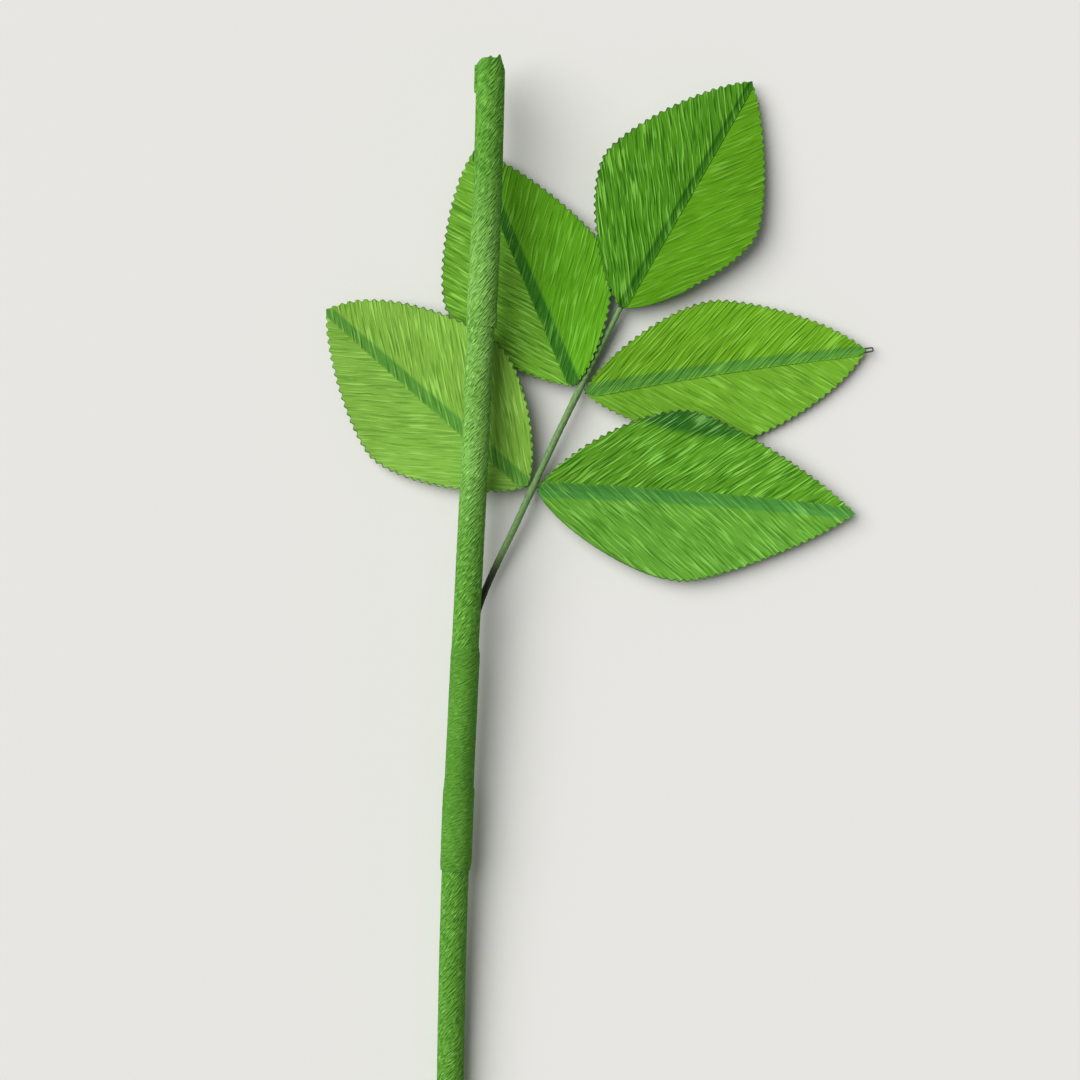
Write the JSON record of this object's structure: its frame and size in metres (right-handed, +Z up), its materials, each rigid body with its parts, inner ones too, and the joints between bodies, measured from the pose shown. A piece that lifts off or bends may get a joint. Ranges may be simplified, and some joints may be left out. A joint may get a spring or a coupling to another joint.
{
  "type": "leafed crepe paper rose stem",
  "caption": "Straight stem wrapped in green crepe paper with one spray of pinked, folded paper leaflets on a taped wire stalk.",
  "frame": {"origin": "on the ground under the middle of the stem's bounding box", "axes": "+Y from the stem's foot to its top, +X to the side that the leaf stalk grows to, +Z up from the ground that the stem lies on, towards the face the leaflets show"},
  "size_m": [0.3426, 0.7026, 0.0462],
  "materials": {
    "stem_paper": "matte crepe paper with fine slanting creases",
    "leaf_paper": "matte crepe paper with creases fanning from the midrib",
    "stalk_tape": "waxed green floral tape",
    "midrib_wire": "thin green coated floral wire",
    "core_wood": "plain sanded rod"
  },
  "bodies": {
    "root": {"stem_core": "core_wood", "stem_wrap": "stem_paper", "top_wrap": "stem_paper", "binding_wrap": "stem_paper", "leaf_stalk": "stalk_tape", "terminal_left_half": "leaf_paper", "terminal_right_half": "leaf_paper", "terminal_wire": "midrib_wire", "upper_left_left_half": "leaf_paper", "upper_left_right_half": "leaf_paper", "upper_left_wire": "midrib_wire", "middle_right_left_half": "leaf_paper", "middle_right_right_half": "leaf_paper", "middle_right_wire": "midrib_wire", "lower_left_left_half": "leaf_paper", "lower_left_right_half": "leaf_paper", "lower_left_wire": "midrib_wire", "lower_right_left_half": "leaf_paper", "lower_right_right_half": "leaf_paper", "lower_right_wire": "midrib_wire"}
  },
  "joints": []
}
